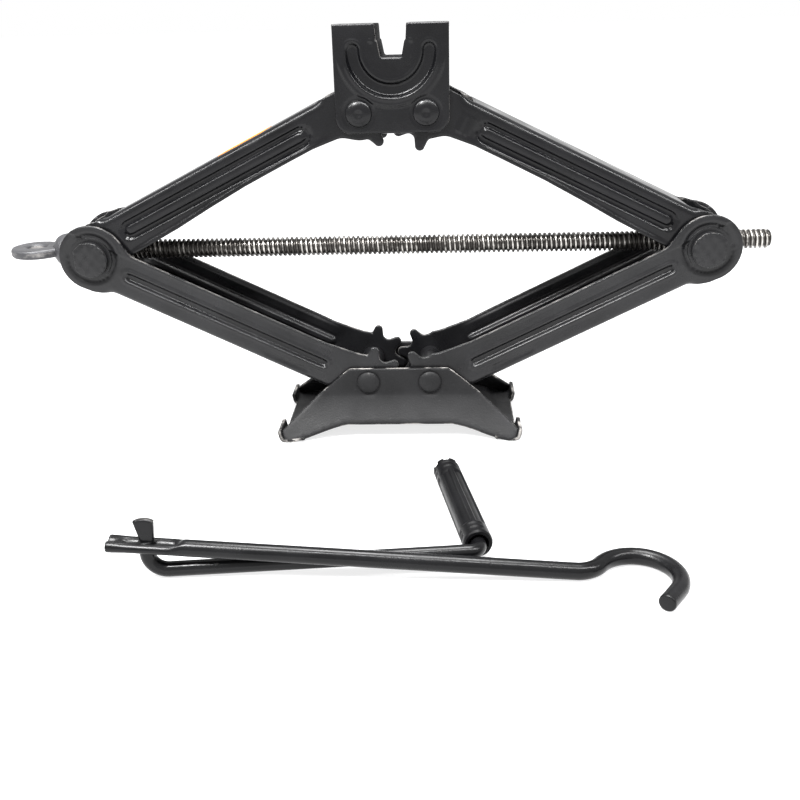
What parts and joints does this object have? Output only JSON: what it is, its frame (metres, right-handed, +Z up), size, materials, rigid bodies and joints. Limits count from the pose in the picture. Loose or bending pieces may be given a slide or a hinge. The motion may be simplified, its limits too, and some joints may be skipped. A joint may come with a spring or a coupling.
{
  "type": "scissor jack",
  "caption": "Four-arm scissor jack with a geared base and notched saddle, a cross screw with a crank eye, and a folding crank handle laid beside it.",
  "frame": {"origin": "on the ground under the centre of the base", "axes": "+X along the screw away from the crank eye, +Y away from the handle, +Z up"},
  "size_m": [0.4784, 0.2813, 0.2473],
  "materials": {
    "painted": "semi-gloss black paint",
    "trunnion_paint": "black paint worn at the edges",
    "screw_steel": "blackened rolled thread",
    "forged_steel": "blackened forging",
    "plain_steel": "plain steel",
    "label": "blank film label",
    "handle_paint": "satin black paint",
    "grip_plastic": "moulded black plastic"
  },
  "bodies": {
    "base": {"base_plate": "painted", "base_pin_left": "painted", "base_pin_right": "painted", "base_spacer_left": "plain_steel", "base_spacer_right": "plain_steel"},
    "lower_left": {"lower_arm_left": "painted"},
    "lower_right": {"lower_arm_right": "painted"},
    "upper_left": {"upper_arm_left": "painted", "blank_label": "label"},
    "upper_right": {"upper_arm_right": "painted"},
    "saddle": {"saddle": "painted", "saddle_pin_left": "painted", "saddle_pin_right": "painted", "saddle_spacer_left": "plain_steel", "saddle_spacer_right": "plain_steel"},
    "trunnion_left": {"trunnion_left": "trunnion_paint", "trunnion_rings_left": "trunnion_paint"},
    "trunnion_right": {"trunnion_right": "trunnion_paint", "trunnion_rings_right": "trunnion_paint"},
    "screw": {"lead_screw": "screw_steel", "crank_eye": "forged_steel", "thrust_collar": "forged_steel", "thrust_washers": "plain_steel", "thrust_balls": "plain_steel"},
    "handle_crank": {"crank_rod": "handle_paint", "grip_washer": "plain_steel"},
    "handle_hook": {"hook_rod": "handle_paint"},
    "handle_grip": {"grip_sleeve": "grip_plastic"}
  },
  "joints": [
    {"name": "lift", "type": "hinge", "parent": "base", "child": "lower_left", "pos_m": [-0.0195, 0, 0.0345], "axis": [0, 1, 0], "range_deg": [-16, 42]},
    {"name": "lower_right_swing", "type": "hinge", "parent": "base", "child": "lower_right", "pos_m": [0.0195, 0, 0.0345], "axis": [0, 1, 0], "range_deg": [-42, 16]},
    {"name": "upper_left_swing", "type": "hinge", "parent": "lower_left", "child": "upper_left", "pos_m": [-0.1875, 0, 0.11663], "axis": [0, 1, 0], "range_deg": [-84, 32]},
    {"name": "upper_right_swing", "type": "hinge", "parent": "lower_right", "child": "upper_right", "pos_m": [0.1875, 0, 0.11663], "axis": [0, 1, 0], "range_deg": [-32, 84]},
    {"name": "saddle_swing", "type": "hinge", "parent": "upper_left", "child": "saddle", "pos_m": [-0.0195, 0, 0.19876], "axis": [0, 1, 0], "range_deg": [-16, 42]},
    {"name": "left_trunnion_turn", "type": "hinge", "parent": "lower_left", "child": "trunnion_left", "pos_m": [-0.1875, 0, 0.11663], "axis": [0, 1, 0], "range_deg": [-42, 16]},
    {"name": "right_trunnion_turn", "type": "hinge", "parent": "lower_right", "child": "trunnion_right", "pos_m": [0.1875, 0, 0.11663], "axis": [0, 1, 0], "range_deg": [-16, 42]},
    {"name": "screw_spin", "type": "hinge", "parent": "trunnion_left", "child": "screw", "pos_m": [-0.1875, 0, 0.11663], "axis": [1, 0, 0], "continuous": true},
    {"name": "handle_lift", "type": "slide", "parent": "base", "child": "handle_crank", "axis": [0, 0, 1], "range_m": [0, 0.15]},
    {"name": "handle_fold", "type": "hinge", "parent": "handle_crank", "child": "handle_hook", "pos_m": [-0.115, -0.2027, 0.0038], "axis": [-0.0258, -0.0015, 0.9997], "range_deg": [-180, 0]},
    {"name": "grip_spin", "type": "hinge", "parent": "handle_crank", "child": "handle_grip", "pos_m": [0.04426, -0.1871, 0.00794], "axis": [-0.1736, 0.9848, -0.003], "continuous": true}
  ],
  "couplings": [
    {"joint": "lower_right_swing", "follows": "lift", "ratio": -1},
    {"joint": "upper_left_swing", "follows": "lift", "ratio": -2},
    {"joint": "upper_right_swing", "follows": "lift", "ratio": 2},
    {"joint": "saddle_swing", "follows": "lift", "ratio": 1},
    {"joint": "left_trunnion_turn", "follows": "lift", "ratio": -1},
    {"joint": "right_trunnion_turn", "follows": "lift", "ratio": 1}
  ]
}
